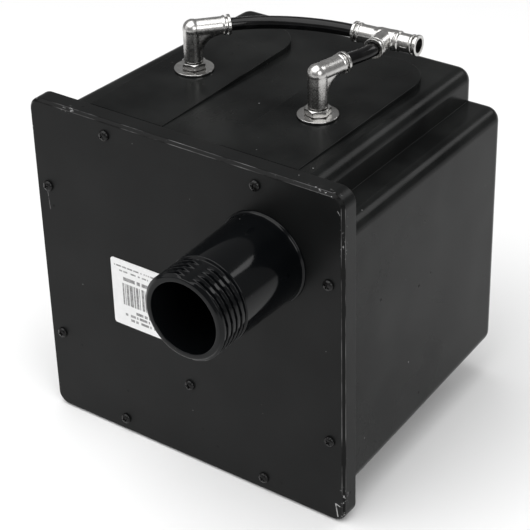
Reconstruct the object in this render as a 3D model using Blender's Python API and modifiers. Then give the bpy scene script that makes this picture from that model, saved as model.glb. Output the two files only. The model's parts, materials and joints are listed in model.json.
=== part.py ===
"""Sealed square plastic tank with a threaded outlet spout and two air inlets fed through one tee.

Metres, +Z up, +X to the right, and the spout points along -Y. The origin is the centre of the
object's box at its base: the tank stands on its two lower pads and on the cover's lower edge.
Depth is measured from the cover's front face into the tank, along +Y.
"""

import math

import bmesh
import bpy
from mathutils import Matrix, Vector

MM = 0.001

# Driving dimensions.
COVER_SIDE = 225 * MM
TANK_DEPTH = 187 * MM
SPOUT_LENGTH = 73.8 * MM
HOSE_RADIUS = 4 * MM
GAP = 0.3 * MM

HALF = COVER_SIDE / 2
COVER_FRONT = (SPOUT_LENGTH - TANK_DEPTH) / 2
ARC_STEPS = 6

# Front cover: a thick plate with a pocket and a seal groove in its back.
COVER_THICKNESS = 12.3 * MM
COVER_CORNER = 9 * MM
COVER_CHAMFER = 1 * MM
COVER_FLOOR = 5 * MM
POCKET_HALF = 88.5 * MM
POCKET_CORNER = 12 * MM
GROOVE_DEPTH = 1.5 * MM
GROOVE_INSETS = (0.6 * MM, 3.4 * MM)

# Tank body: a plus in section, closed at the back, drafted, with level pads above and below.
TANK_FRONT = COVER_THICKNESS + GAP
TANK_REACH = HALF - 0.6 * MM
TANK_SHOULDER = 90.6 * MM
TANK_WALL = 4 * MM
TANK_EDGE = 9 * MM
TANK_EDGE_STEPS = 4
TANK_DRAFT = (TANK_DEPTH - TANK_FRONT) * math.tan(math.radians(1.45))
PAD_CENTRE = 47.5 * MM
PAD_HALF_WIDTH = 26.9 * MM
PAD_ARC_DEPTH = 135 * MM
PAD_THICKNESS = 9.5 * MM

# Screws round the cover and the one below its middle.
SCREW_NEAR = 54 * MM
SCREW_FAR = 102.4 * MM
SCREW_RADIUS = 1.8 * MM
SCREW_LENGTH = 26 * MM
SCREW_HEAD_RADIUS = 3.5 * MM
SCREW_HEAD_HEIGHT = 2.1 * MM
SCREW_SLOT = (4 * MM, 0.9 * MM)
SCREW_SLOT_DEPTH = 0.8 * MM
BOSS_RADIUS = 6.5 * MM
BOSS_LENGTH = 24 * MM
BAFFLE_SCREW_Z = HALF - 54.6 * MM

# Baffle plate inside the tank, on a post that the lower screw holds.
BAFFLE_DEPTH = 60 * MM
BAFFLE_THICKNESS = 3 * MM
BAFFLE_HALF_WIDTH = 84 * MM
BAFFLE_TOP = 140 * MM

# Outlet spout. Each ridge of its thread is given by shares of the pitch.
SPOUT_X = 57.9 * MM
SPOUT_Z = 169.3 * MM
SPOUT_BORE = 21.9 * MM
SPOUT_BASE = 28.35 * MM
SPOUT_SHOULDER = 26.9 * MM
SPOUT_LIP = (29.6 * MM, 1.1 * MM)
THREAD_START = 52.9 * MM
THREAD_ROOT = 25.1 * MM
THREAD_CREST = 26.7 * MM
THREAD_CREST_SHARES = (0.25, 0.45)
THREAD_ROOT_SHARES = (0.7, 0.95)
THREAD_RIDGES = 5
RIM_CHAMFER = 0.8 * MM
SPOUT_TAIL_RADIUS = 24.5 * MM
SPOUT_TAIL_DEPTH = 18 * MM
LOCK_RING_RADIUS = 29.5 * MM
LOCK_RING_THICKNESS = 6 * MM
SPOUT_SEAL_THICKNESS = 1.7 * MM

# Air fittings on the upper pads: (side, x, depth, heading of the leg in degrees, reach of the leg).
LEFT_ELBOW = ("left", -50.2 * MM, 82.4 * MM, 47.5, 23.2 * MM)
RIGHT_ELBOW = ("right", 47.7 * MM, 71.8 * MM, 78.0, 21.9 * MM)
PORT_Z = 252 * MM
STEM_THREAD = 4.8 * MM
STEM_SPIGOT = 3.8 * MM
STEM_BORE = 2.6 * MM
STEM_BOTTOM = 203 * MM
SPIGOT_HEIGHT = 7 * MM
SEAL_WASHER = (9.5 * MM, 1.5 * MM)
LOCK_NUT_HEIGHT = 5.2 * MM
HEX_RADIUS = 8.1 * MM
HEX_HEIGHT = 4 * MM
HEX_TURN = {"left": -50, "right": -80}
FLANGE_RADIUS = 12.3 * MM
FLANGE_THICKNESS = 1.2 * MM
ELBOW_RADIUS = 5.85 * MM
AIRWAY = 3 * MM

# Push-in sockets, all alike, measured back from the release collet's outer face.
LEG_RADIUS = 5.75 * MM
COLLET_FLANGE = (6.4 * MM, 1.8 * MM)
COLLET_TRAVEL = 1 * MM
COLLET_SLEEVE = 4.6 * MM
COLLET_BORE = HOSE_RADIUS + GAP
SLEEVE_RADIUS = COLLET_BORE + 0.55 * MM
POCKET_RADIUS = SLEEVE_RADIUS + GAP
SEAL_LENGTH = 1.2 * MM
HOSE_SEAT = 2 * MM

# Tee: heading of its run in degrees, and how far the collets' outer faces stand from its middle.
TEE_X = 56 * MM
TEE_DEPTH = 132.8 * MM
TEE_HEADING = 4.0
TEE_RUN_REACH = 21.5 * MM
TEE_BRANCH_REACH = 16.9 * MM
TEE_HUB = (6.5 * MM, 7.5 * MM)

# Label on the cover: left edge, lower edge, width, height and thickness.
LABEL_LEFT = -56.3 * MM
LABEL_LOW = 84.5 * MM
LABEL_WIDTH = 66 * MM
LABEL_HEIGHT = 47.3 * MM
LABEL_THICKNESS = 0.35 * MM
LABEL_CORNER = 1.5 * MM


def clear_scene():
    for obj in list(bpy.data.objects):
        bpy.data.objects.remove(obj)


def collection(name):
    made = bpy.data.collections.new(name)
    bpy.context.scene.collection.children.link(made)
    return made


clear_scene()
PARTS = collection("feed_tank")
TOOLS = collection("cutters")


def material(name, colour, roughness, metallic=0.0):
    made = bpy.data.materials.new(name)
    made.use_nodes = True
    shader = made.node_tree.nodes["Principled BSDF"]
    shader.inputs["Base Color"].default_value = (*colour, 1)
    shader.inputs["Roughness"].default_value = roughness
    shader.inputs["Metallic"].default_value = metallic
    made.diffuse_color = (*colour, 1)
    return made


BLACK_PLASTIC = material("black_plastic", (0.025, 0.026, 0.028), 0.38)
SPOUT_PLASTIC = material("spout_plastic", (0.012, 0.012, 0.013), 0.28)
BLACK_HOSE = material("black_hose", (0.015, 0.015, 0.016), 0.22)
BLACK_RUBBER = material("black_rubber", (0.03, 0.03, 0.03), 0.7)
BLACK_SCREW = material("blackened_steel", (0.03, 0.03, 0.03), 0.4, 1.0)
NICKEL = material("nickel_plate", (0.75, 0.73, 0.7), 0.25, 1.0)
WHITE_PAPER = material("label_paper", (0.85, 0.85, 0.85), 0.5)


def place(x, depth, z):
    """A point from its depth behind the cover's front face."""
    return Vector((x, COVER_FRONT + depth, z))


def add(name, mesh, coat=None):
    """Makes an object: a part if it has a coat of material, and otherwise a helper."""
    obj = bpy.data.objects.new(name, mesh)
    if coat:
        PARTS.objects.link(obj)
        if not mesh.materials:
            mesh.materials.append(coat)
    else:
        TOOLS.objects.link(obj)
        obj.hide_render = True
        obj.display_type = "WIRE"
    return obj


def finish_mesh(shape, name):
    bmesh.ops.recalc_face_normals(shape, faces=shape.faces)
    mesh = bpy.data.meshes.new(name)
    shape.to_mesh(mesh)
    shape.free()
    return mesh


def combine(target, operation, tool):
    modifier = target.modifiers.new(tool.name, "BOOLEAN")
    modifier.operation = operation
    modifier.object = tool


def evaluated_mesh(obj):
    """The mesh of an object after its modifiers. The object itself is removed."""
    bpy.context.view_layer.update()
    graph = bpy.context.evaluated_depsgraph_get()
    mesh = bpy.data.meshes.new_from_object(obj.evaluated_get(graph))
    bpy.data.objects.remove(obj)
    return mesh


def add_cylinder(shape, radius, start, end, sides=24):
    along = end - start
    turn = along.to_track_quat("Z", "Y").to_matrix().to_4x4()
    bmesh.ops.create_cone(
        shape, cap_ends=True, segments=sides, radius1=radius, radius2=radius,
        depth=along.length, matrix=Matrix.Translation((start + end) / 2) @ turn,
    )


def add_prism(shape, base, lift):
    """A prism: the outline's points, moved by lift."""
    face = shape.faces.new([shape.verts.new(point) for point in base])
    grown = bmesh.ops.extrude_face_region(shape, geom=[face], use_keep_orig=True)
    moved = [item for item in grown["geom"] if isinstance(item, bmesh.types.BMVert)]
    bmesh.ops.translate(shape, verts=moved, vec=lift)


def cylinders(name, radius, ends, coat=None, sides=24):
    shape = bmesh.new()
    for start, end in ends:
        add_cylinder(shape, radius, start, end, sides)
    return add(name, finish_mesh(shape, name), coat)


def arc(centre, radius, start, stop, steps=ARC_STEPS):
    """Points of an arc, with its angles in degrees."""
    angles = [math.radians(start + (stop - start) * step / steps) for step in range(steps + 1)]
    return [(centre[0] + radius * math.cos(a), centre[1] + radius * math.sin(a)) for a in angles]


def rounded_rectangle(half_width, half_height, radius):
    points = []
    for start, (side, up) in zip((0, 90, 180, 270), ((1, 1), (-1, 1), (-1, -1), (1, -1))):
        centre = (side * (half_width - radius), up * (half_height - radius))
        points += arc(centre, radius, start, start + 90)
    return points


def plus_outline(inset):
    """The tank's section at its front, brought in by inset, with rounded outer corners."""
    reach = TANK_REACH - inset
    shoulder = TANK_SHOULDER - inset
    radius = TANK_EDGE - inset / 2
    points = []
    for quarter in range(4):
        arm = arc((reach - radius, radius - shoulder), radius, -90, 0)
        arm += arc((reach - radius, shoulder - radius), radius, 0, 90)
        arm.append((shoulder, shoulder))
        turn = Matrix.Rotation(quarter * math.pi / 2, 2)
        points += [tuple(turn @ Vector(point)) for point in arm]
    return points


def upright_plate(name, outline, front, back, coat=None, middle=(0, HALF)):
    """A plate facing -Y between two depths, whose outline is centred on middle."""
    shape = bmesh.new()
    base = [place(middle[0] + x, front, middle[1] + z) for x, z in outline]
    add_prism(shape, base, Vector((0, back - front, 0)))
    return add(name, finish_mesh(shape, name), coat)


def turned(name, profile, coat=None, steps=24):
    """A profile of (radius, height), run down its outer side, turned round local Z."""
    closed = profile[0][0] > 0
    count = len(profile)
    edges = [(i, (i + 1) % count) for i in range(count if closed else count - 1)]
    mesh = bpy.data.meshes.new(name)
    mesh.from_pydata([(radius, 0, height) for radius, height in profile], edges, [])
    obj = add(name, mesh, coat)
    screw = obj.modifiers.new("Turn", "SCREW")
    screw.steps = steps
    screw.render_steps = steps
    screw.use_merge_vertices = True
    screw.merge_threshold = 0.01 * MM
    screw.use_smooth_shade = False
    return obj


def ring_profile(inner, outer, low, high):
    return [(outer, high), (outer, low), (inner, low), (inner, high)]


def set_along(obj, start, direction):
    """Puts an object's origin at start and its local Z along direction."""
    turn = direction.to_track_quat("Z", "Y").to_matrix().to_4x4()
    obj.matrix_world = Matrix.Translation(start) @ turn


# ---------------------------------------------------------------- tank and cover


def tapered_block(name, half_x, half_z, front, inset):
    """A block that narrows to the back, with its long edges and its back edges rounded."""
    back = TANK_DEPTH - inset
    shape = bmesh.new()
    bmesh.ops.create_cube(shape, size=2)
    for vert in shape.verts:
        at_back = vert.co.y > 0
        narrow = inset + (TANK_DRAFT if at_back else 0)
        x = vert.co.x * (half_x - narrow)
        z = HALF + vert.co.z * (half_z - narrow)
        vert.co = place(x, back if at_back else front, z)
    open_face = min(shape.faces, key=lambda face: face.calc_center_median().y)
    edges = [edge for edge in shape.edges if edge not in open_face.edges]
    bmesh.ops.bevel(
        shape, geom=edges, offset=TANK_EDGE - inset, segments=TANK_EDGE_STEPS, profile=0.5,
        affect="EDGES",
    )
    return finish_mesh(shape, name)


def plus_block(name, front, inset, coat=None):
    """The upright and the sideways block of the plus, joined."""
    upright = add(name, tapered_block(name, TANK_SHOULDER, TANK_REACH, front, inset), coat)
    across = add(name + "_across", tapered_block(name, TANK_REACH, TANK_SHOULDER, front, inset))
    combine(upright, "UNION", across)
    return upright


def pad_outline(centre_x):
    back = arc((centre_x, PAD_ARC_DEPTH), PAD_HALF_WIDTH, 0, 180, 4 * ARC_STEPS)
    return [
        (centre_x - PAD_HALF_WIDTH, TANK_FRONT),
        (centre_x + PAD_HALF_WIDTH, TANK_FRONT),
        *back,
    ]


def pads():
    """Two level pads on top and two below, each thick enough to reach through the drafted wall."""
    shape = bmesh.new()
    for centre_x in (-PAD_CENTRE, PAD_CENTRE):
        for low in (0, COVER_SIDE - PAD_THICKNESS):
            base = [place(x, depth, low) for x, depth in pad_outline(centre_x)]
            add_prism(shape, base, Vector((0, 0, PAD_THICKNESS)))
    return add("pads", finish_mesh(shape, "pads"))


def screw_spots():
    """The (x, z) of the eight screws round the cover's edge."""
    spots = []
    for a, b in ((SCREW_NEAR, SCREW_FAR), (SCREW_FAR, SCREW_NEAR)):
        for side in (-1, 1):
            for up in (-1, 1):
                spots.append((side * a, HALF + up * b))
    return spots


def along_depth(spots, front, back):
    return [(place(x, front, z), place(x, back, z)) for x, z in spots]


def make_tank_body():
    body = plus_block("tank_body", TANK_FRONT, 0, BLACK_PLASTIC)
    cavity = plus_block("tank_cavity", COVER_THICKNESS - COVER_CHAMFER, TANK_WALL)
    bosses = cylinders(
        "screw_bosses", BOSS_RADIUS, along_depth(screw_spots(), TANK_FRONT, TANK_FRONT + BOSS_LENGTH)
    )
    pilots = cylinders(
        "pilot_holes", SCREW_RADIUS + GAP,
        along_depth(screw_spots(), COVER_THICKNESS, SCREW_LENGTH + 2 * MM), sides=12,
    )
    inlets = cylinders(
        "inlet_holes", STEM_THREAD + GAP,
        [(place(x, depth, STEM_BOTTOM), place(x, depth, COVER_SIDE + MM))
         for _, x, depth, _, _ in (LEFT_ELBOW, RIGHT_ELBOW)],
    )
    combine(body, "DIFFERENCE", cavity)
    combine(body, "UNION", pads())
    combine(body, "UNION", bosses)
    combine(body, "DIFFERENCE", pilots)
    combine(body, "DIFFERENCE", inlets)


def make_front_cover():
    outline = rounded_rectangle(HALF, HALF, COVER_CORNER)
    cover = upright_plate("front_cover", outline, 0, COVER_THICKNESS, BLACK_PLASTIC)
    bevel = cover.modifiers.new("Edges", "BEVEL")
    bevel.width = COVER_CHAMFER
    bevel.segments = 2
    bevel.limit_method = "ANGLE"
    bevel.angle_limit = math.radians(60)
    beyond = COVER_THICKNESS + COVER_CHAMFER
    pocket_outline = rounded_rectangle(POCKET_HALF, POCKET_HALF, POCKET_CORNER)
    pocket = upright_plate("cover_pocket", pocket_outline, COVER_FLOOR, beyond)
    groove = upright_plate(
        "seal_groove", plus_outline(GROOVE_INSETS[0]), COVER_THICKNESS - GROOVE_DEPTH, beyond
    )
    island = upright_plate(
        "groove_island", plus_outline(GROOVE_INSETS[1]), COVER_FLOOR, beyond + COVER_CHAMFER
    )
    combine(groove, "DIFFERENCE", island)
    holes = cylinders(
        "cover_screw_holes", SCREW_RADIUS + 2 * GAP,
        along_depth([*screw_spots(), (0, BAFFLE_SCREW_Z)], -COVER_CHAMFER, beyond), sides=16,
    )
    spout_hole = cylinders(
        "spout_hole", SPOUT_TAIL_RADIUS + 2 * GAP,
        along_depth([(SPOUT_X, SPOUT_Z)], -COVER_CHAMFER, beyond), sides=48,
    )
    for cutter in (pocket, groove, holes, spout_hole):
        combine(cover, "DIFFERENCE", cutter)


def make_cover_gasket():
    front = COVER_THICKNESS - GROOVE_DEPTH + GAP
    gasket = upright_plate(
        "cover_gasket", plus_outline(GROOVE_INSETS[0] + GAP), front, COVER_THICKNESS, BLACK_RUBBER
    )
    middle = upright_plate(
        "gasket_middle", plus_outline(GROOVE_INSETS[1] - GAP), front - GAP, COVER_THICKNESS + GAP
    )
    combine(gasket, "DIFFERENCE", middle)


def make_baffle_plate():
    low = PAD_THICKNESS + GAP
    half_height = (BAFFLE_TOP - low) / 2
    plate = upright_plate(
        "baffle_plate", rounded_rectangle(BAFFLE_HALF_WIDTH, half_height, COVER_CORNER),
        BAFFLE_DEPTH, BAFFLE_DEPTH + BAFFLE_THICKNESS, BLACK_PLASTIC, (0, low + half_height),
    )
    spot = [(0, BAFFLE_SCREW_Z)]
    post = cylinders(
        "baffle_post", BOSS_RADIUS, along_depth(spot, COVER_FLOOR + GAP, BAFFLE_DEPTH + MM)
    )
    hole = cylinders(
        "baffle_pilot_hole", SCREW_RADIUS + GAP, along_depth(spot, 0, SCREW_LENGTH + 2 * MM),
        sides=12,
    )
    combine(plate, "UNION", post)
    combine(plate, "DIFFERENCE", hole)


def screw_mesh():
    """A pan-head screw: its tip points down local Z, and its head's underside is at zero."""
    head = [(SCREW_HEAD_RADIUS * math.cos(a), SCREW_HEAD_HEIGHT * math.sin(a))
            for a in (math.radians(step * 30) for step in range(3, -1, -1))]
    head[0] = (0, SCREW_HEAD_HEIGHT)
    shank = [(SCREW_RADIUS, 0), (SCREW_RADIUS, -SCREW_LENGTH + 2 * MM), (0, -SCREW_LENGTH)]
    screw = turned("screw_blank", head + shank, steps=12)
    shape = bmesh.new()
    for size in (SCREW_SLOT, SCREW_SLOT[::-1]):
        scale = Matrix.Diagonal((*size, 2 * SCREW_SLOT_DEPTH, 1))
        up = Matrix.Translation((0, 0, SCREW_HEAD_HEIGHT))
        bmesh.ops.create_cube(shape, size=1, matrix=up @ scale)
    recess = add("cross_recess", finish_mesh(shape, "cross_recess"))
    combine(screw, "DIFFERENCE", recess)
    screw.modifiers[-1].use_self = True
    return evaluated_mesh(screw)


def make_screws():
    mesh = screw_mesh()
    spots = [(f"cover_screw_{number}", spot) for number, spot in enumerate(screw_spots(), 1)]
    spots.append(("baffle_screw", (0, BAFFLE_SCREW_Z)))
    for name, (x, z) in spots:
        screw = add(name, mesh, BLACK_SCREW)
        set_along(screw, place(x, -GAP, z), Vector((0, -1, 0)))


def make_label():
    outline = rounded_rectangle(LABEL_WIDTH / 2, LABEL_HEIGHT / 2, LABEL_CORNER)
    middle = (LABEL_LEFT + LABEL_WIDTH / 2, LABEL_LOW + LABEL_HEIGHT / 2)
    upright_plate("label", outline, -GAP - LABEL_THICKNESS, -GAP, WHITE_PAPER, middle)


# ---------------------------------------------------------------- outlet spout


def spout_profile():
    """The spout's section: height is the distance in front of the cover."""
    pitch = (SPOUT_LENGTH - THREAD_START) / THREAD_RIDGES
    outer = [(THREAD_ROOT + RIM_CHAMFER, SPOUT_LENGTH)]
    for ridge in range(THREAD_RIDGES):
        top = SPOUT_LENGTH - ridge * pitch
        outer += [(THREAD_CREST, top - share * pitch) for share in THREAD_CREST_SHARES]
        outer += [(THREAD_ROOT, top - share * pitch) for share in THREAD_ROOT_SHARES]
    outer[-1:] = [
        (THREAD_ROOT, THREAD_START - 0.5 * MM),
        (SPOUT_SHOULDER, THREAD_START - 2 * MM),
        (SPOUT_BASE, SPOUT_LIP[1] + GAP + MM),
        (SPOUT_LIP[0], SPOUT_LIP[1] + GAP),
        (SPOUT_LIP[0], GAP),
        (SPOUT_TAIL_RADIUS, GAP),
        (SPOUT_TAIL_RADIUS, -SPOUT_TAIL_DEPTH),
    ]
    return outer + [(SPOUT_BORE, -SPOUT_TAIL_DEPTH), (SPOUT_BORE, SPOUT_LENGTH)]


def make_spout():
    """The spout, and behind the cover the seal and the ring that hold it."""
    hole = SPOUT_TAIL_RADIUS + GAP
    seal_front = COVER_FLOOR + GAP
    seal_back = seal_front + SPOUT_SEAL_THICKNESS
    ring_front = seal_back + GAP
    ring_back = ring_front + LOCK_RING_THICKNESS
    pieces = (
        turned("outlet_spout", spout_profile(), SPOUT_PLASTIC, 48),
        turned(
            "spout_seal", ring_profile(hole, LOCK_RING_RADIUS - MM, -seal_back, -seal_front),
            BLACK_RUBBER, 36,
        ),
        turned(
            "spout_lock_ring", ring_profile(hole, LOCK_RING_RADIUS, -ring_back, -ring_front),
            SPOUT_PLASTIC, 36,
        ),
    )
    for piece in pieces:
        set_along(piece, place(SPOUT_X, 0, SPOUT_Z), Vector((0, -1, 0)))


# ---------------------------------------------------------------- air fittings


def flat_heading(degrees):
    angle = math.radians(degrees)
    return Vector((math.cos(angle), math.sin(angle), 0))


def socket_depths(reach):
    """Distances from a fitting's middle: leg's end, pocket's bottom and the hose's seat."""
    leg_end = reach - COLLET_FLANGE[1] - COLLET_TRAVEL - GAP
    pocket = leg_end - COLLET_SLEEVE - COLLET_TRAVEL - GAP - SEAL_LENGTH - GAP
    return leg_end, pocket, pocket - HOSE_SEAT


def socket_cutter(name, reach):
    """The stepped bore of a push-in socket, from the fitting's middle out past its leg."""
    leg_end, pocket, seat = socket_depths(reach)
    return turned(name, [
        (0, leg_end + MM),
        (POCKET_RADIUS, leg_end + MM),
        (POCKET_RADIUS, pocket),
        (COLLET_BORE, pocket),
        (COLLET_BORE, seat),
        (AIRWAY, seat),
        (AIRWAY, 0),
        (0, 0),
    ])


def collet_profile():
    """A release collet: its outer face is at zero and its sleeve runs down into the leg."""
    flange_radius, flange = COLLET_FLANGE
    tip = -flange - COLLET_TRAVEL - GAP - COLLET_SLEEVE
    rounding = 0.3 * MM
    return [
        (flange_radius - rounding, 0),
        (flange_radius, -rounding),
        (flange_radius, -flange),
        (SLEEVE_RADIUS, -flange),
        (SLEEVE_RADIUS, tip),
        (COLLET_BORE, tip),
        (COLLET_BORE, 0),
    ]


def shared_mesh(name, profile, coat):
    mesh = evaluated_mesh(turned(name, profile, coat))
    mesh.name = name
    return mesh


COLLET_MESH = shared_mesh("collet", collet_profile(), NICKEL)
SOCKET_SEAL_MESH = shared_mesh(
    "socket_seal", ring_profile(COLLET_BORE, SLEEVE_RADIUS, 0, SEAL_LENGTH), BLACK_RUBBER
)


def fill_socket(name, middle, direction, reach):
    """Puts the release collet and the seal ring into a socket."""
    collet = add(name + "_collet", COLLET_MESH, NICKEL)
    set_along(collet, middle + direction * reach, direction)
    seal = add(name + "_socket_seal", SOCKET_SEAL_MESH, BLACK_RUBBER)
    set_along(seal, middle + direction * (socket_depths(reach)[1] + GAP), direction)


def hexagon(turn):
    return arc((0, 0), HEX_RADIUS, turn, turn + 300, 5)


def hex_prism(name, middle, low, high, turn, coat=None):
    shape = bmesh.new()
    base = [Vector((middle.x + x, middle.y + y, low)) for x, y in hexagon(turn)]
    add_prism(shape, base, Vector((0, 0, high - low)))
    return add(name, finish_mesh(shape, name), coat)


def make_inlet(side, x, depth, heading, reach):
    """One air inlet: flange washer, stem, seal and lock nut on the pad, and the elbow above."""
    foot = place(x, depth, 0)
    pad_top = COVER_SIDE
    flange_low = pad_top + GAP
    hex_low = flange_low + FLANGE_THICKNESS + GAP
    hex_high = hex_low + HEX_HEIGHT
    elbow_low = hex_high + GAP
    spigot_top = elbow_low + SPIGOT_HEIGHT
    hole = STEM_THREAD + GAP

    flange = turned(
        side + "_flange_washer",
        ring_profile(hole, FLANGE_RADIUS, flange_low, flange_low + FLANGE_THICKNESS), NICKEL, 36,
    )
    seal_high = pad_top - PAD_THICKNESS - GAP
    seal_radius, seal_thickness = SEAL_WASHER
    seal_low = seal_high - seal_thickness
    seal = turned(
        side + "_seal_washer", ring_profile(hole, seal_radius, seal_low, seal_high), BLACK_RUBBER
    )
    stem = turned(side + "_inlet_stem", [
        (STEM_SPIGOT, spigot_top),
        (STEM_SPIGOT, hex_low + HEX_HEIGHT / 2),
        (STEM_THREAD, hex_low + HEX_HEIGHT / 2),
        (STEM_THREAD, STEM_BOTTOM),
        (STEM_BORE, STEM_BOTTOM),
        (STEM_BORE, spigot_top),
    ], NICKEL)
    for piece in (flange, seal, stem):
        piece.location = foot

    collar = hex_prism(side + "_stem_hexagon", foot, hex_low, hex_high, HEX_TURN[side])
    collar_hole = cylinders(
        side + "_stem_hexagon_hole", STEM_SPIGOT - 0.5 * MM,
        [(foot + Vector((0, 0, hex_low - MM)), foot + Vector((0, 0, hex_high + MM)))],
    )
    combine(collar, "DIFFERENCE", collar_hole)
    combine(stem, "UNION", collar)

    nut_high = seal_low - GAP
    nut_low = nut_high - LOCK_NUT_HEIGHT
    nut = hex_prism(side + "_lock_nut", foot, nut_low, nut_high, HEX_TURN[side], NICKEL)
    nut_hole = cylinders(
        side + "_lock_nut_hole", hole,
        [(foot + Vector((0, 0, nut_low - MM)), foot + Vector((0, 0, nut_high + MM)))],
    )
    combine(nut, "DIFFERENCE", nut_hole)

    middle = foot + Vector((0, 0, PORT_Z))
    direction = flat_heading(heading)
    dome = [(ELBOW_RADIUS * math.cos(a), ELBOW_RADIUS * math.sin(a))
            for a in (math.radians(15 * step) for step in range(6, -1, -1))]
    dome[0] = (0, ELBOW_RADIUS)
    down = elbow_low - PORT_Z
    elbow = turned(side + "_elbow", dome + [(ELBOW_RADIUS, down), (0, down)], NICKEL)
    elbow.location = middle
    leg = cylinders(
        side + "_elbow_leg", LEG_RADIUS, [(middle, middle + direction * socket_depths(reach)[0])]
    )
    riser = turned(side + "_elbow_riser", [
        (0, 0),
        (AIRWAY, 0),
        (AIRWAY, spigot_top + GAP - PORT_Z),
        (STEM_SPIGOT + GAP, spigot_top + GAP - PORT_Z),
        (STEM_SPIGOT + GAP, down - MM),
        (0, down - MM),
    ])
    riser.location = middle
    bore = socket_cutter(side + "_elbow_bore", reach)
    set_along(bore, middle, direction)
    combine(elbow, "UNION", leg)
    combine(elbow, "DIFFERENCE", riser)
    combine(elbow, "DIFFERENCE", bore)
    fill_socket(side, middle, direction, reach)


def make_tee():
    middle = place(TEE_X, TEE_DEPTH, PORT_Z)
    along = flat_heading(TEE_HEADING)
    branch = flat_heading(TEE_HEADING - 90)
    half_run = socket_depths(TEE_RUN_REACH)[0]
    hub_radius, hub_half = TEE_HUB
    shoulder = hub_half + hub_radius - LEG_RADIUS
    tee = turned("tee_fitting", [
        (0, half_run),
        (LEG_RADIUS, half_run),
        (LEG_RADIUS, shoulder),
        (hub_radius, hub_half),
        (hub_radius, -hub_half),
        (LEG_RADIUS, -shoulder),
        (LEG_RADIUS, -half_run),
        (0, -half_run),
    ], NICKEL)
    set_along(tee, middle, along)
    branch_end = middle + branch * socket_depths(TEE_BRANCH_REACH)[0]
    combine(tee, "UNION", cylinders("tee_branch", LEG_RADIUS, [(middle, branch_end)]))
    sockets = (
        ("tee_port", along, TEE_RUN_REACH),
        ("tee_left", -along, TEE_RUN_REACH),
        ("tee_branch", branch, TEE_BRANCH_REACH),
    )
    for name, direction, reach in sockets:
        bore = socket_cutter(name + "_bore", reach)
        set_along(bore, middle, direction)
        combine(tee, "DIFFERENCE", bore)
        fill_socket(name, middle, direction, reach)


def hose_route(start, start_heading, end, end_heading, steps):
    """A smooth curve between two sockets that leaves and arrives along the given headings."""
    pull = (end - start).length
    points = []
    for step in range(steps + 1):
        t = step / steps
        points.append(
            start * (2 * t**3 - 3 * t**2 + 1) + start_heading * pull * (t**3 - 2 * t**2 + t)
            + end * (3 * t**2 - 2 * t**3) + end_heading * pull * (t**3 - t**2)
        )
    return points


def make_hose(name, ends, steps):
    """A hose between two sockets, each given as (middle, direction out of it, reach)."""
    (start, start_out, start_reach), (end, end_out, end_reach) = ends
    points = [start + start_out * (socket_depths(start_reach)[2] + GAP)]
    points += hose_route(
        start + start_out * start_reach, start_out, end + end_out * end_reach, -end_out, steps
    )
    points.append(end + end_out * (socket_depths(end_reach)[2] + GAP))
    curve = bpy.data.curves.new(name, "CURVE")
    curve.dimensions = "3D"
    curve.bevel_depth = HOSE_RADIUS
    curve.bevel_resolution = 3
    curve.use_fill_caps = True
    curve.materials.append(BLACK_HOSE)
    spline = curve.splines.new("POLY")
    spline.points.add(len(points) - 1)
    for control, point in zip(spline.points, points):
        control.co = (*point, 1)
    hose = bpy.data.objects.new(name, curve)
    PARTS.objects.link(hose)


def make_hoses():
    tee = place(TEE_X, TEE_DEPTH, PORT_Z)
    along = flat_heading(TEE_HEADING)
    _, x, depth, heading, reach = LEFT_ELBOW
    left = (place(x, depth, PORT_Z), flat_heading(heading), reach)
    make_hose("long_hose", (left, (tee, -along, TEE_RUN_REACH)), 14)
    _, x, depth, heading, reach = RIGHT_ELBOW
    right = (place(x, depth, PORT_Z), flat_heading(heading), reach)
    branch = flat_heading(TEE_HEADING - 90)
    make_hose("short_hose", (right, (tee, branch, TEE_BRANCH_REACH)), 6)


make_tank_body()
make_front_cover()
make_cover_gasket()
make_baffle_plate()
make_screws()
make_label()
make_spout()
make_inlet(*LEFT_ELBOW)
make_inlet(*RIGHT_ELBOW)
make_tee()
make_hoses()
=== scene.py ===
"""Looks of the square feed tank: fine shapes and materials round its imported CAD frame.

Metres, +Z up, in the frame of the CAD part. The spout points along -Y.
"""

import json
import math

import bmesh
import bpy
from mathutils import Matrix, Vector


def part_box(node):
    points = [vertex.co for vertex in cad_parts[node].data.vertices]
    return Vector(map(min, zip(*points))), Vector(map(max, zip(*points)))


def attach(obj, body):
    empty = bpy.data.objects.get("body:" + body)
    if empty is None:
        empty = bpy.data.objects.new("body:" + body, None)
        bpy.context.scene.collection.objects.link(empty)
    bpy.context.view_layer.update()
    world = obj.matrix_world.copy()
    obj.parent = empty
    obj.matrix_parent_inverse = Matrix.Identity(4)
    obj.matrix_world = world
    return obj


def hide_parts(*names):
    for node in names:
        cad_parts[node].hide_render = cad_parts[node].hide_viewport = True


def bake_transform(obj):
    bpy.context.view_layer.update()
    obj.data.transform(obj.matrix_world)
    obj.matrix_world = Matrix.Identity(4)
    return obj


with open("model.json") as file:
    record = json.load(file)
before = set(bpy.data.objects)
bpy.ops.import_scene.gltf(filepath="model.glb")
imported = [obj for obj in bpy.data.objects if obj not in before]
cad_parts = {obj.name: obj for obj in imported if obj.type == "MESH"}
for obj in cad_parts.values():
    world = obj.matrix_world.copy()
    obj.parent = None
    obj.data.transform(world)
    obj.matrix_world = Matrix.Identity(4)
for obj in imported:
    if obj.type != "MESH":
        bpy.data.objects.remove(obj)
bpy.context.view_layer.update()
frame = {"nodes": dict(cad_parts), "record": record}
JOINTS = {joint["name"]: joint for joint in frame["record"]["behaviour"]["joints"]}

MM = 0.001
UP = Vector((0, 0, 1))
OUTWARD = Vector((0, -1, 0))

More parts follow.
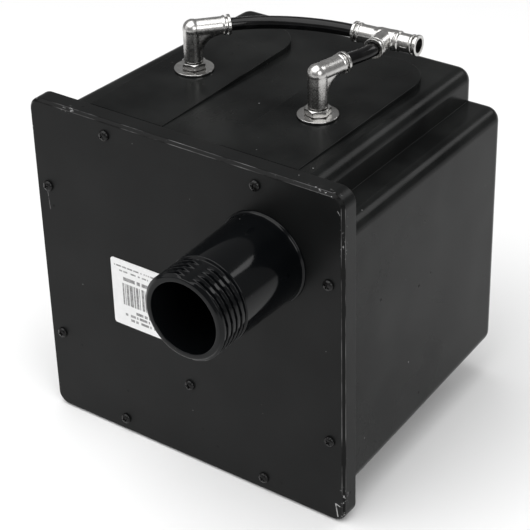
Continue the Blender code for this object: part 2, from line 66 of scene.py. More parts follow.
# Camera: where it stands, which way it looks and its lens.
CAMERA_PLACE = (0.5608, -0.7409, 0.6979)
CAMERA_AZIMUTH = 36.397
CAMERA_ELEVATION = 30.675
CAMERA_ROLL = -1.744
CAMERA_LENS = 120.65
CAMERA_SENSOR = 36
CAMERA_SHIFT = (0.0107, -0.0856)
CAMERA_NEAREST = 0.01

# Places read from the frame.
COVER_LOW, COVER_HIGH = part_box("front_cover")
TANK_LOW, TANK_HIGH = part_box("tank_body")
LABEL_LOW, LABEL_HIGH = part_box("label")
FRONT = COVER_LOW.y
BACK = TANK_HIGH.y
HALF = (COVER_HIGH.x - COVER_LOW.x) / 2
CENTRE_Z = (COVER_HIGH.z + COVER_LOW.z) / 2
PAD_TOP = TANK_HIGH.z
SCREWS = sorted(node for node in frame["nodes"] if "screw" in node)

# How close two points count as one, how close a point counts as lying in a plane, and how far a
# cutter runs past what it cuts.
MERGE = 0.001 * MM
NEAR = 0.01 * MM
OVERRUN = 1 * MM

# Cover.
COVER_CORNER = 9 * MM
COVER_CHAMFER = 1.7 * MM
COVER_RIM = 0.3 * MM
COVER_FLOOR = 5 * MM
POCKET_HALF = 88.5 * MM
POCKET_CORNER = 12 * MM
SCREW_HOLE = 2.4 * MM
SPOUT_HOLE = 25.1 * MM

# Tank. Its plus section is two blocks crossed: each reaches to one size and is as wide as the other.
TANK_SHOULDER = 90.6 * MM
TANK_REACH = TANK_HIGH.x
TANK_EDGE = 9 * MM
TANK_WALL = 4 * MM
TANK_DRAFT = (BACK - TANK_LOW.y) * math.tan(math.radians(1.45))
PAD_CENTRE = 47.5 * MM
PAD_HALF_WIDTH = 26.9 * MM
PAD_ARC_Y = FRONT + 135 * MM
PAD_HEIGHT = 9.5 * MM
PAD_EDGE = 0.45 * MM
INLET_HOLE = 5.1 * MM
FLASH_RADIUS = 0.3 * MM
FLASH_RISE = 0.12 * MM
FLASH_DRAFT = TANK_DRAFT * 0.95

# Screws: the head is a profile of (radius, height) points over the cover.
SCREW_HEAD = (
    (0, 2.1 * MM), (1.2 * MM, 2.08 * MM), (2.2 * MM, 1.85 * MM), (2.95 * MM, 1.4 * MM),
    (3.4 * MM, 0.75 * MM), (3.5 * MM, 0.25 * MM), (3.35 * MM, 0),
)
SCREW_SHANK = 1.8 * MM
SCREW_LENGTH = 24 * MM
SCREW_TIP = 2 * MM
SCREW_SINK = 0.3 * MM
CROSS_SLOT = (3.8 * MM, 0.8 * MM, 2.4 * MM)
CROSS_PIT = ((0, 3 * MM), (1.1 * MM, 3 * MM), (1.1 * MM, 1.9 * MM), (0, 0.6 * MM))
SCREW_TWIST = 1.9

# Label. Blocks of print are left, right, bottom and top in millimetres from its lower left corner.
LABEL_CORNER = 1.8 * MM
LABEL_SINK = 0.25 * MM
LABEL_BARS = (7.5, 44, 15.5, 31)
LABEL_BLOCK = (31, 41, 7.6, 9.6)
# Rows of dashes: a block and the width of one dash.
LABEL_ROWS = (
    ((2.5, 58, 42.2, 43.3), 0.8),
    ((4.5, 56, 39.0, 40.1), 0.8),
    ((9, 46, 33.0, 35.6), 1.3),
    ((17, 30, 10.6, 12.6), 1.1),
    ((9, 29, 7.6, 9.4), 1.0),
    ((12, 34, 4.4, 6.2), 1.0),
)
BAR_WIDTH = 0.62

# Scratches on the cover's front: (x, z) ends, half width and strength.
COVER_SCRATCHES = (
    ((109.3 * MM, 12.6 * MM), (106.3 * MM, 13.6 * MM), 0.45 * MM, 1.0),
    ((106.3 * MM, 13.6 * MM), (107.8 * MM, 4.5 * MM), 0.5 * MM, 1.0),
    ((108.5 * MM, 215.5 * MM), (110 * MM, 213.5 * MM), 0.3 * MM, 0.5),
    ((-103.6 * MM, 162 * MM), (-102.8 * MM, 150 * MM), 0.25 * MM, 0.35),
)

# Spout, measured in front of the cover. The tail is a radius and a depth behind the cover, the lip
# a radius with its near and far heights.
SPOUT_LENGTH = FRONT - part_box("outlet_spout")[0].y
SPOUT_BORE = 21.9 * MM
SPOUT_BASE = 28.35 * MM
SPOUT_SHOULDER = 26.9 * MM
SPOUT_TAIL = (24.5 * MM, 18 * MM)
SPOUT_LIP = (29.6 * MM, 0.3 * MM, 1.4 * MM)
SPOUT_SIDES = 256
BARREL_STEPS = 24
THREAD_START = 52.9 * MM
THREAD_STEP = 1.2 * MM
THREAD_PITCH = 4.18 * MM
THREAD_ROOT = 25.2 * MM
THREAD_CREST = 26.75 * MM
THREAD_SLICE = 0.22 * MM
THREAD_FADE = (0.3 * MM, 1.6 * MM)
FLAT_ANGLE = math.radians(84)
FLAT_HALF = math.radians(4)
FLAT_RUNOUT = math.radians(13)

# The spout's small roundings, at its rim, in its bore and at its lip, and where its slices start
# below the rim and end below the thread.
RIM_EDGE = 0.5 * MM
RIM_INSET = 0.8 * MM
RIM_ROUND = 0.2 * MM
RIM_FALL = 0.25 * MM
BORE_ROUND = 0.15 * MM
SLICES_START = 0.7 * MM
SLICES_END = 1.5 * MM
FILLET_START = 1.2 * MM
FILLET_WIDTH = 0.35 * MM
FILLET_HEIGHT = 0.3 * MM
LIP_ROUND = 0.4 * MM
LIP_FALL = 0.35 * MM

# Push-in fittings. A gusset fills the inside of each elbow, and a well at its foot takes the stem.
PORT_Z = 252 * MM
CASTING_VOXEL = 0.22 * MM
ELBOW_RADIUS = 5.85 * MM
ELBOW_CORNER = 6 * MM
LEG_RADIUS = 5.6 * MM
BRANCH_RADIUS = 6 * MM
BEAD_RADIUS = 6.1 * MM
BEAD_EDGE = 0.3 * MM
BEAD_LENGTH = 1.3 * MM
BEAD_SLOPE = 0.6 * MM
COLLET_RADIUS = 6.4 * MM
COLLET_BORE = 4.3 * MM
COLLET_FLANGE = 1.8 * MM
COLLET_GAP = 1.3 * MM
COLLET_EDGE = 0.35 * MM
SLEEVE_RADIUS = 4.85 * MM
SLEEVE_LENGTH = 4.6 * MM
SOCKET_RADIUS = 5.15 * MM
SOCKET_DEPTH = 7.4 * MM
HOSE_STOP = 2 * MM
AIRWAY = 3 * MM
GUSSET_HALF = 5 * MM
GUSSET_HOLLOW = 10.5 * MM
GUSSET_SINK = 1 * MM
WELL_RADIUS = 4.1 * MM
WELL_DEPTH = 7.3 * MM

# Inlets: a hexagon and a thread on one stem, over a flange washer. The hexagon is cut by a lens
# that turns its corners down. The odd counts of sides keep lens and shank from meeting edge on edge.
HEX_RADIUS = 8.1 * MM
LENS_TOP = HEX_RADIUS * math.cos(math.pi / 6) - 0.1 * MM
LENS_RADIUS = HEX_RADIUS + 0.2 * MM
LENS_SIDES = 71
SHANK_SIDES = 47
HEX_HEIGHT = 4 * MM
HEX_GAP = 0.3 * MM
HEX_EDGE = 0.5 * MM
HEX_CHAMFER = 0.8 * MM
SPIGOT_RADIUS = 3.8 * MM
STEM_RADIUS = 4.8 * MM
STEM_BORE = 2.6 * MM
WASHER_EDGE = 0.3 * MM

# Tee: (radius, height) points along its run, and two cut marks on the side of its right arm.
TEE_HUB = (
    (0, 7.2 * MM), (LEG_RADIUS + 0.2 * MM, 7.2 * MM), (6.35 * MM, 6.2 * MM), (6.1 * MM, 0),
    (6.2 * MM, -4 * MM), (LEG_RADIUS, -7.5 * MM), (0, -7.5 * MM),
)
TEE_COLLAR = (
    (0, 9.3 * MM), (6 * MM, 9.3 * MM), (6.4 * MM, 8.9 * MM), (6.4 * MM, 7.9 * MM),
    (6 * MM, 7.5 * MM), (0, 7.5 * MM),
)
MARK_START = 11.2 * MM
MARK_OUT = LEG_RADIUS + 0.05 * MM
MARK_LENGTH = 4.2 * MM
MARK_RADIUS = 0.28 * MM
MARK_LIFT = 0.6 * MM
MARK_SPREAD = 0.9 * MM

# Hoses: the radius, and how far each end goes in behind a collet's face.
HOSE_RADIUS = 4 * MM
HOSE_GRIP = 11.5 * MM

# Materials: tones, the reach of the painted shade and of the marks on the cover (for chips, where
# they fade out and where they are full) and the depth of grain and waves.
DUST_TONE = (0.3, 0.3, 0.3)
# Near black for the painted shade on the cover's chamfer band.
CHAMFER_SHADE_TONE = (0.0005, 0.0005, 0.0005)
# Pale tone for wear, scratches and chips, and for the painted highlights along the cover's chamfer edges.
WEAR_AND_HIGHLIGHT_TONE = (0.42, 0.42, 0.42)
PIT_TONE = (0.12, 0.117, 0.112)
INK_TONE = (0.05, 0.05, 0.05)
# How far the painted shade on the cover's chamfer reaches: full within the first, gone past the second.
CHAMFER_SHADE_START = 2.2 * MM
CHAMFER_SHADE_END = 2.6 * MM
# Width of the pale lines along the chamfer's edges: wear and painted highlight.
EDGE_LINE_WIDTH = 0.28 * MM
CHIP_DEPTH = (5 * MM, 2 * MM)
CHIP_SIDE = (3.4 * MM, 1.6 * MM)
CHIP_CORNER = (60 * MM, 96 * MM)
RISER_TOP = PORT_Z - 3.5 * MM
MOTTLE_FADE = 2.5 * MM
FINE_GRAIN = 0.02 * MM
CAST_GRAIN = 0.03 * MM
HOSE_WAVE = 0.03 * MM

# Stage and lights: the lights are a name, place, aim, width and height, and watts.
FLOOR_HALF = 6
FLOOR_DROP = 0.2 * MM
WORLD_STRENGTH = 0.3
TARGET = (0, 0, 0.12)
LIGHTS = (
    ("key", (1.35, -0.65, 0.95), TARGET, (0.9, 0.9), 9),
    ("top", (-0.3, -0.5, 1.8), TARGET, (2.2, 2.2), 42),
    ("fill", (-1.3, -1.2, 0.9), TARGET, (1.2, 1.2), 4),
    ("back", (0.8, 1.5, 1.3), (0.3, 0.3, 0), (0.8, 0.8), 7),
)


# ---------------------------------------------------------------- shapes


def place(x, depth, z):
    """A point from its depth behind the cover's front face."""
    return Vector((x, FRONT + depth, z))


def add(name, mesh):
    obj = bpy.data.objects.new(name, mesh)
    bpy.context.scene.collection.objects.link(obj)
    return obj


def finish_mesh(shape, name):
    bmesh.ops.recalc_face_normals(shape, faces=shape.faces)
    mesh = bpy.data.meshes.new(name)
    shape.to_mesh(mesh)
    shape.free()
    return mesh


def evaluated_mesh(obj):
    bpy.context.view_layer.update()
    return bpy.data.meshes.new_from_object(obj.evaluated_get(bpy.context.evaluated_depsgraph_get()))


def apply_modifiers(obj):
    """Bakes an object's modifiers into its mesh."""
    mesh = evaluated_mesh(obj)
    obj.modifiers.clear()
    obj.data = mesh


def combine(target, operation, tool):
    """A Boolean between two objects. The tool is used up."""
    modifier = target.modifiers.new(operation, "BOOLEAN")
    modifier.operation = operation
    modifier.object = tool
    apply_modifiers(target)
    bpy.data.objects.remove(tool)


def smooth(obj, degrees=40):
    obj.data.shade_smooth()
    obj.data.set_sharp_from_angle(angle=math.radians(degrees))
    weighted = obj.modifiers.new("Normals", "WEIGHTED_NORMAL")
    weighted.keep_sharp = True
    apply_modifiers(obj)


def arc(centre, radius, start, stop, steps):
    angles = [math.radians(start + (stop - start) * step / steps) for step in range(steps + 1)]
    return [(centre[0] + radius * math.cos(a), centre[1] + radius * math.sin(a)) for a in angles]


def rounded_rectangle(half_width, half_height, radius, steps=12):
    points = []
    for start, (side, up) in zip((0, 90, 180, 270), ((1, 1), (-1, 1), (-1, -1), (1, -1))):
        centre = (side * (half_width - radius), up * (half_height - radius))
        points += arc(centre, radius, start, start + 90, steps)
    return points


def soften(points, radius, steps=3, most=0.45):
    """Rounds every corner of a closed outline, using no more than a share of each side."""
    soft = []
    for i, point in enumerate(points):
        corner = Vector(point)
        to_last = Vector(points[i - 1]) - corner
        to_next = Vector(points[(i + 1) % len(points)]) - corner
        start = corner + to_last.normalized() * min(radius, to_last.length * most)
        end = corner + to_next.normalized() * min(radius, to_next.length * most)
        for step in range(steps + 1):
            t = step / steps
            soft.append(tuple(start * (1 - t) ** 2 + corner * 2 * t * (1 - t) + end * t**2))
    return soft


def lifted(base, lift):
    """The bmesh of a prism: base is a list of points, and lift moves its other end."""
    shape = bmesh.new()
    face = shape.faces.new([shape.verts.new(point) for point in base])
    grown = bmesh.ops.extrude_face_region(shape, geom=[face], use_keep_orig=True)
    moved = [item for item in grown["geom"] if isinstance(item, bmesh.types.BMVert)]
    bmesh.ops.translate(shape, verts=moved, vec=lift)
    return shape


def prism(name, base, lift):
    return add(name, finish_mesh(lifted(base, lift), name))


def bevel(shape, edges, width, segments):
    bmesh.ops.bevel(
        shape, geom=edges, offset=width, segments=segments, profile=0.5, affect="EDGES"
    )


def rod(shape, radius, start, end, sides):
    """Adds a closed cylinder to a bmesh."""
    along = end - start
    turn = along.to_track_quat("Z", "Y").to_matrix().to_4x4()
    bmesh.ops.create_cone(
        shape, cap_ends=True, segments=sides, radius1=radius, radius2=radius,
        depth=along.length, matrix=Matrix.Translation((start + end) / 2) @ turn,
    )


def cylinder(name, radius, start, end, sides=48):
    shape = bmesh.new()
    rod(shape, radius, start, end, sides)
    return add(name, finish_mesh(shape, name))


def ball(name, radius, centre):
    shape = bmesh.new()
    bmesh.ops.create_uvsphere(
        shape, u_segments=48, v_segments=24, radius=radius, matrix=Matrix.Translation(centre)
    )
    return add(name, finish_mesh(shape, name))


def set_along(obj, start, direction):
    """Moves a mesh built round local Z so that its origin is at start and Z runs along direction."""
    turn = direction.to_track_quat("Z", "Y").to_matrix().to_4x4()
    obj.data.transform(Matrix.Translation(start) @ turn)


def turned(name, profile, start, direction, steps=64):
    """A profile of (radius, height) points turned round an axis. One that touches it stays open."""
    shape = bmesh.new()
    verts = [shape.verts.new((radius, 0, height)) for radius, height in profile]
    count = len(verts)
    whole = all(radius > 0 for radius, _ in profile)
    edges = [shape.edges.new((verts[i], verts[(i + 1) % count]))
             for i in range(count if whole else count - 1)]
    bmesh.ops.spin(
        shape, geom=verts + edges, cent=(0, 0, 0), axis=(0, 0, 1), angle=math.tau, steps=steps,
        use_merge=True,
    )
    bmesh.ops.remove_doubles(shape, verts=shape.verts, dist=MERGE)
    obj = add(name, finish_mesh(shape, name))
    set_along(obj, start, direction)
    return obj


def ring(name, inner, outer, low, high, start, direction, edge):
    outline = soften([(outer, high), (outer, low), (inner, low), (inner, high)], edge)
    return turned(name, outline, start, direction)


def melt(name, solids, rounds):
    """Runs overlapping solids together into one casting, whose inner corners relax in rounds."""
    shape = bmesh.new()
    for solid in solids:
        shape.from_mesh(solid.data)
        bpy.data.objects.remove(solid)
    obj = add(name, finish_mesh(shape, name))
    remesh = obj.modifiers.new("Remesh", "REMESH")
    remesh.mode = "VOXEL"
    remesh.voxel_size = CASTING_VOXEL
    relax = obj.modifiers.new("Relax", "SMOOTH")
    relax.iterations = rounds
    apply_modifiers(obj)
    return obj


# ---------------------------------------------------------------- places from the frame


def inward(joint):
    """The direction in which a release collet is pushed."""
    return Vector(JOINTS[joint]["axis"])


def node_points(node):
    return [vert.co for vert in frame["nodes"][node].data.vertices]


def collet_face(node, out):
    """The middle of a collet's outer face."""
    points = node_points(node)
    side = out.cross(UP)
    across = [point.dot(side) for point in points]
    reach = max(point.dot(out) for point in points)
    level = (min(point.z for point in points) + max(point.z for point in points)) / 2
    return out * reach + side * (min(across) + max(across)) / 2 + UP * level


def middle_of(node):
    low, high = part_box(node)
    return (low + high) / 2


# ---------------------------------------------------------------- materials


def grey(level):
    return (level, level, level)


class Paint:
    """A material and short ways to wire its nodes. Its position is the frame's at rest, in metres."""

    def __init__(self, name, shine=0.5):
        self.material = bpy.data.materials.new(name)
        self.material.use_nodes = True
        self.tree = self.material.node_tree
        self.shader = self.tree.nodes["Principled BSDF"]
        self.shader.inputs["Specular IOR Level"].default_value = shine
        self.position = self.node("ShaderNodeTexCoord").outputs["Object"]

    def feed(self, socket, source):
        if isinstance(source, bpy.types.NodeSocket):
            self.tree.links.new(source, socket)
        else:
            socket.default_value = source

    def node(self, kind, inputs=None, **settings):
        made = self.tree.nodes.new(kind)
        for key, setting in settings.items():
            setattr(made, key, setting)
        for socket, source in (inputs or {}).items():
            self.feed(made.inputs[socket], source)
        return made

    def math(self, operation, *sources):
        made = self.node("ShaderNodeMath", dict(enumerate(sources)), operation=operation)
        return made.outputs[0]

    def times(self, first, second):
        return self.math("MULTIPLY", first, second)

    def size(self, source):
        return self.math("ABSOLUTE", source)

    def noise(self, scale, detail, distortion=0.0):
        inputs = {"Vector": self.position, "Scale": scale, "Detail": detail, "Distortion": distortion}
        return self.node("ShaderNodeTexNoise", inputs).outputs[0]

    def drift(self, scale, detail, low, high, distortion=0.0):
        """A value that wanders between low and high."""
        return self.span(self.noise(scale, detail, distortion), 0.3, 0.7, low, high)

    def specks(self, scale, size):
        """Small scattered dots: 1 inside a dot."""
        cells = self.node("ShaderNodeTexVoronoi", {"Vector": self.position, "Scale": scale})
        return self.span(cells.outputs["Distance"], size, size * 0.6)

    def span(self, source, low, high, to_low=0.0, to_high=1.0):
        """Maps low to high onto to_low to to_high, and holds the ends."""
        inputs = {"Value": source, "From Min": low, "From Max": high, "To Min": to_low,
                  "To Max": to_high}
        return self.node("ShaderNodeMapRange", inputs).outputs[0]

    def mix(self, factor, first, second):
        made = self.node("ShaderNodeMix", data_type="RGBA")
        self.feed(made.inputs["Factor"], factor)
        for socket, colour in ((made.inputs[6], first), (made.inputs[7], second)):
            self.feed(socket, colour if isinstance(colour, bpy.types.NodeSocket) else (*colour, 1))
        return made.outputs[2]

    def bump(self, height, distance, under=None):
        inputs = {"Height": height, "Distance": distance, "Strength": 1.0}
        if under:
            inputs["Normal"] = under
        return self.node("ShaderNodeBump", inputs).outputs[0]

    def axes(self):
        return self.node("ShaderNodeSeparateXYZ", {0: self.position}).outputs

    def vector(self, operation, first, second):
        return self.node("ShaderNodeVectorMath", {0: first, 1: second}, operation=operation).outputs

    def line(self, start, end, width):
        """A stroke between two (x, z) points: 1 on it, and it doesn't depend on y."""
        start = Vector((start[0], 0, start[1]))
        along = Vector((end[0], 0, end[1])) - start
        flat = self.vector("MULTIPLY", self.position, (1, 0, 1))[0]
        offset = self.vector("SUBTRACT", flat, start)[0]
        share = self.vector("DOT_PRODUCT", offset, along / along.length_squared)["Value"]
        held = self.node("ShaderNodeClamp", {"Value": share}).outputs[0]
        foot = self.node("ShaderNodeVectorMath", {0: along, "Scale": held}, operation="SCALE")
        gap = self.vector("DISTANCE", offset, foot.outputs[0])["Value"]
        return self.span(gap, width, width * 0.5)

    def finish(self, colour, roughness, normal=None, metallic=0.0):
        self.feed(self.shader.inputs["Base Color"], colour)
        self.feed(self.shader.inputs["Roughness"], roughness)
        self.shader.inputs["Metallic"].default_value = metallic
        if normal:
            self.feed(self.shader.inputs["Normal"], normal)
        return self.material


def plastic(name, shine, dark, light, roughness, grain=0.012 * MM, wave=0.06 * MM, marks=None):
    """Moulded black plastic: cloudy tone, faint grain, slow waves, dust and rubbed spots."""
    paint = Paint(name, shine)
    colour = paint.mix(paint.span(paint.noise(22, 5), 0.35, 0.68), dark, light)
    pits = paint.times(paint.specks(60, 0.07), paint.span(paint.noise(18, 2), 0.5, 0.56))
    dust = paint.times(paint.specks(95, 0.05), paint.span(paint.noise(35, 2), 0.52, 0.6))
    colour = paint.mix(paint.times(dust, 0.8), colour, DUST_TONE)
    if marks:
        chamfer_shade, pale = marks(paint)
        # Painted shade from marks, where it gives some: the cover's chamfer band darkened near black.
        colour = paint.mix(paint.times(chamfer_shade, 0.85), colour, CHAMFER_SHADE_TONE)
        # Pale wear, scratches and chips, and painted highlights along the chamfer's edges.
        colour = paint.mix(pale, colour, WEAR_AND_HIGHLIGHT_TONE)
    rough = paint.drift(16, 6, *roughness, 0.8)
    rough = paint.math("ADD", rough, paint.times(pits, 0.35))
    normal = paint.bump(paint.noise(14, 1), wave)
    normal = paint.bump(paint.noise(1400, 2), grain, normal)
    return paint.finish(colour, rough, normal)


def cover_shade_and_marks(paint):
    """Painted shade on the band of the cover's chamfer, and round it pale wear with painted edge
    highlights, scratches and chips.
    """
    x, y, z = paint.axes()
    across = paint.size(x)
    up = paint.size(paint.math("SUBTRACT", z, CENTRE_Z))
    side = paint.math("SUBTRACT", HALF, paint.math("MAXIMUM", across, up))
    depth = paint.math("SUBTRACT", y, FRONT)
    # Painted shade: the chamfer band and a thin strip beside it are darkened near black.
    chamfer_shade = paint.times(paint.span(depth, CHAMFER_SHADE_END, CHAMFER_SHADE_START),
                        paint.span(side, CHAMFER_SHADE_END, CHAMFER_SHADE_START))
    pale = paint.math("MAXIMUM", edge_wear_and_highlights(paint, side, depth), scratches(paint, depth))
    return chamfer_shade, paint.math("MAXIMUM", pale, corner_chips(paint, across, up, side, depth))


def edge_wear_and_highlights(paint, side, depth):
    """Broken pale lines along the two edges of the cover's chamfer: wear, and painted edge highlights."""
    edges = []
    for along, beyond in ((side, depth), (depth, side)):
        gap = paint.size(paint.math("SUBTRACT", along, COVER_CHAMFER))
        edges.append(paint.times(paint.span(gap, EDGE_LINE_WIDTH, 0), paint.span(beyond, EDGE_LINE_WIDTH, 0)))
    # The pale edge lines are partly wear and partly painted highlight.
    edge_lines = paint.times(paint.math("MAXIMUM", *edges), paint.span(paint.noise(60, 5), 0.4, 0.7))
    return paint.times(edge_lines, 0.6)


def scratches(paint, depth):
    broken = paint.span(paint.noise(700, 2), 0.3, 0.5)
    visible = paint.times(broken, paint.span(depth, 2 * COVER_CHAMFER, COVER_CHAMFER))
    total = 0.0
    for start, end, width, strength in COVER_SCRATCHES:
        stroke = paint.times(paint.times(paint.line(start, end, width), visible), strength)
        total = paint.math("MAXIMUM", total, stroke)
    return total


def corner_chips(paint, across, up, side, depth):
    """Small pale chips near the cover's edges, only towards its corners."""
    chips = paint.times(paint.span(paint.noise(620, 4), 0.6, 0.66),
                        paint.span(paint.noise(75, 3), 0.5, 0.58))
    near_front = paint.span(depth, *CHIP_DEPTH)
    near_side = paint.span(side, *CHIP_SIDE)
    to_corner = paint.span(paint.math("MINIMUM", across, up), *CHIP_CORNER)
    return paint.times(paint.times(chips, near_front), paint.times(near_side, to_corner))


def rubber():
    paint = Paint("seal_rubber")
    tone = paint.mix(paint.noise(160, 4), grey(0.012), grey(0.03))
    rough = paint.drift(60, 3, 0.55, 0.75)
    return paint.finish(tone, rough, paint.bump(paint.noise(2600, 2), FINE_GRAIN))


def blackened_steel():
    paint = Paint("blackened_steel", 0.2)
    tone = paint.mix(paint.noise(900, 4), grey(0.002), grey(0.01))
    rough = paint.drift(500, 3, 0.14, 0.28)
    return paint.finish(tone, rough, paint.bump(paint.noise(2600, 2), FINE_GRAIN))


def stained(paint, clean, stain):
    return paint.mix(paint.span(paint.noise(260, 6, 0.6), 0.3, 0.8), clean, stain)


def nickel(name, roughness, grain):
    """Nickel plate with dull patches and slight stains, over a fine grain."""
    paint = Paint(name)
    tone = stained(paint, (0.55, 0.543, 0.53), (0.4, 0.394, 0.384))
    rough = paint.drift(420, 5, *roughness)
    return paint.finish(tone, rough, paint.bump(paint.noise(2400, 3), grain), metallic=1.0)


def cast_nickel():
    """The elbows' plate: satin on the leg, and mottled by the rough casting on the riser."""
    paint = Paint("cast_nickel")
    riser = paint.span(paint.axes()[2], RISER_TOP, RISER_TOP - MOTTLE_FADE)
    grain = paint.noise(1700, 6)
    mottle = paint.times(riser, paint.span(grain, 0.38, 0.62))
    tone = stained(paint, (0.56, 0.553, 0.54), (0.42, 0.414, 0.404))
    tone = paint.mix(paint.times(mottle, 0.75), tone, PIT_TONE)
    rough = paint.drift(420, 5, 0.22, 0.32)
    depth = paint.times(grain, paint.span(riser, 0, 1, 0.15, 1))
    return paint.finish(tone, rough, paint.bump(depth, CAST_GRAIN), metallic=1.0)


def hose_black():
    """Glossy tube with slow waves and faint handling marks."""
    paint = Paint("hose_black", 0.22)
    marks = paint.span(paint.noise(120, 5, 0.4), 0.45, 0.75)
    tone = paint.mix(marks, (0.002, 0.002, 0.0022), (0.006, 0.006, 0.0062))
    rough = paint.drift(260, 4, 0.08, 0.18)
    return paint.finish(tone, rough, paint.bump(paint.noise(300, 2), HOSE_WAVE))


def label_print():
    """White paper with a block of bars and rows of dashes that spell nothing."""
    paint = Paint("label_print")
    x, _, z = paint.axes()
    across = paint.math("DIVIDE", paint.math("SUBTRACT", x, LABEL_LOW.x), MM)
    up = paint.math("DIVIDE", paint.math("SUBTRACT", z, LABEL_LOW.z), MM)

    def between(source, start, end):
        return paint.times(paint.math("GREATER_THAN", source, start),
                           paint.math("LESS_THAN", source, end))

    def block(left, right, bottom, top):
        return paint.times(between(across, left, right), between(up, bottom, top))

    def stripes(width, row, gaps):
        """Upright stripes, some of them left out: gaps is their share, row changes which."""
        step = paint.math("FLOOR", paint.math("DIVIDE", across, width))
        cell = paint.node("ShaderNodeCombineXYZ", {0: step, 1: row}).outputs[0]
        roll = paint.node("ShaderNodeTexWhiteNoise", {"Vector": cell}).outputs[0]
        return paint.math("GREATER_THAN", roll, gaps)

    ink = paint.times(stripes(BAR_WIDTH, 5.0, 0.36), block(*LABEL_BARS))
    for row, (area, width) in enumerate(LABEL_ROWS):
        dashes = stripes(width, 10.0 * row, 0.35)
        ink = paint.math("MAXIMUM", ink, paint.times(dashes, block(*area)))
    ink = paint.math("MAXIMUM", ink, block(*LABEL_BLOCK))
    fade = paint.drift(900, 3, 0.55, 0.9)
    paper = paint.mix(paint.noise(300, 4), grey(0.74), grey(0.86))
    tone = paint.mix(paint.times(ink, fade), paper, INK_TONE)
    return paint.finish(tone, paint.drift(300, 3, 0.35, 0.5))


def floor_paint():
    paint = Paint("floor_paint")
    tone = paint.mix(paint.noise(3, 3), grey(0.88), grey(0.91))
    return paint.finish(tone, paint.drift(5, 2, 0.75, 0.85))


TANK_PLASTIC = plastic(
    "tank_plastic", shine=0.075, roughness=(0.17, 0.32),
    dark=(0.003, 0.0033, 0.0033), light=(0.011, 0.0116, 0.0113),
)
COVER_PLASTIC = plastic(
    "cover_plastic", shine=0.12, roughness=(0.28, 0.4), marks=cover_shade_and_marks,
    dark=(0.0045, 0.0048, 0.0048), light=(0.0075, 0.0078, 0.0078),
)
SPOUT_PLASTIC = plastic(
    "spout_plastic", shine=0.17, roughness=(0.07, 0.14), grain=0.003 * MM, wave=0.02 * MM,
    dark=(0.0015, 0.0018, 0.0022), light=(0.003, 0.0034, 0.0038),
)
RUBBER = rubber()
SCREW_STEEL = blackened_steel()
POLISHED = nickel("polished_nickel", roughness=(0.16, 0.24), grain=0.004 * MM)
TEE_NICKEL = nickel("tee_nickel", roughness=(0.18, 0.28), grain=0.008 * MM)
CAST = cast_nickel()
HOSE = hose_black()
LABEL = label_print()


def dress(obj, paint, body, slot, *nodes):
    """Gives a finished piece its material and its body, and hides the CAD nodes it stands for. slot is not
    used.
    """
    coat(obj, paint)
    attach(obj, body)
    if nodes:
        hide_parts(*nodes)


def coat(obj, paint):
    obj.data.materials.clear()
    obj.data.materials.append(paint)


# ---------------------------------------------------------------- tank and cover


def tapered_block(name, half_x, half_z, front, inset):
    """A block that narrows to the back, with its long edges and its back edges rounded."""
    shape = bmesh.new()
    bmesh.ops.create_cube(shape, size=2)
    for vert in shape.verts:
        at_back = vert.co.y > 0
        narrow = inset + (TANK_DRAFT if at_back else 0)
        x = vert.co.x * (half_x - narrow)
        z = CENTRE_Z + vert.co.z * (half_z - narrow)
        vert.co = Vector((x, BACK - inset if at_back else front, z))
    open_face = min(shape.faces, key=lambda face: face.calc_center_median().y)
    edges = [edge for edge in shape.edges if edge not in open_face.edges]
    bevel(shape, edges, TANK_EDGE - inset, 14)
    return add(name, finish_mesh(shape, name))


def plus_block(name, front, inset):
    upright = tapered_block(name, TANK_SHOULDER, TANK_REACH, front, inset)
    combine(upright, "UNION", tapered_block("across", TANK_REACH, TANK_SHOULDER, front, inset))
    return upright


def in_plane(edge, axis, level):
    return all(abs(vert.co[axis] - level) < NEAR for vert in edge.verts)


def pad(centre_x, low, high, level):
    """A pad with a round end. Its level face, at the height called level, has a soft edge."""
    outline = [(centre_x - PAD_HALF_WIDTH, TANK_LOW.y), (centre_x + PAD_HALF_WIDTH, TANK_LOW.y)]
    outline += arc((centre_x, PAD_ARC_Y), PAD_HALF_WIDTH, 0, 180, 64)
    shape = lifted([(x, y, low) for x, y in outline], (0, 0, high - low))
    soft = [edge for edge in shape.edges
            if in_plane(edge, 2, level) and not in_plane(edge, 1, TANK_LOW.y)]
    bevel(shape, soft, PAD_EDGE, 4)
    return add("pad", finish_mesh(shape, "pad"))


def make_tank():
    tank = plus_block("tank_shell", TANK_LOW.y, 0)
    combine(tank, "DIFFERENCE", plus_block("cavity", TANK_LOW.y - OVERRUN, TANK_WALL))
    for centre_x in (-PAD_CENTRE, PAD_CENTRE):
        combine(tank, "UNION", pad(centre_x, PAD_TOP - PAD_HEIGHT, PAD_TOP, PAD_TOP))
        combine(tank, "UNION", pad(centre_x, 0, PAD_HEIGHT, 0))
    for side in ("left", "right"):
        low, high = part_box(side + "_inlet_stem")
        spot = (low + high) / 2
        foot, head = (Vector((spot.x, spot.y, z)) for z in (low.z, high.z))
        combine(tank, "DIFFERENCE", cylinder("hole", INLET_HOLE, foot, head))
    smooth(tank, 30)
    dress(tank, TANK_PLASTIC, "tank", "tank_plastic", "tank_body")


def make_flash_lines():
    """The fine bead that the mould leaves along the inner corner of each step."""
    shape = bmesh.new()
    reach = TANK_SHOULDER + FLASH_RISE
    for side in (-1, 1):
        for up in (-1, 1):
            start, end = (
                Vector((side * (reach - narrow), y, CENTRE_Z + up * (reach - narrow)))
                for y, narrow in ((TANK_LOW.y, 0), (BACK - TANK_EDGE, FLASH_DRAFT))
            )
            rod(shape, FLASH_RADIUS, start, end, 10)
    beads = add("step_beads", finish_mesh(shape, "step_beads"))
    smooth(beads, 60)
    dress(beads, TANK_PLASTIC, "tank", "tank_plastic")


def upright_prism(name, outline, depth, thickness):
    """A prism that starts at a depth behind the cover's front and runs to the back."""
    base = [place(x, depth, CENTRE_Z + z) for x, z in outline]
    return prism(name, base, Vector((0, thickness, 0)))


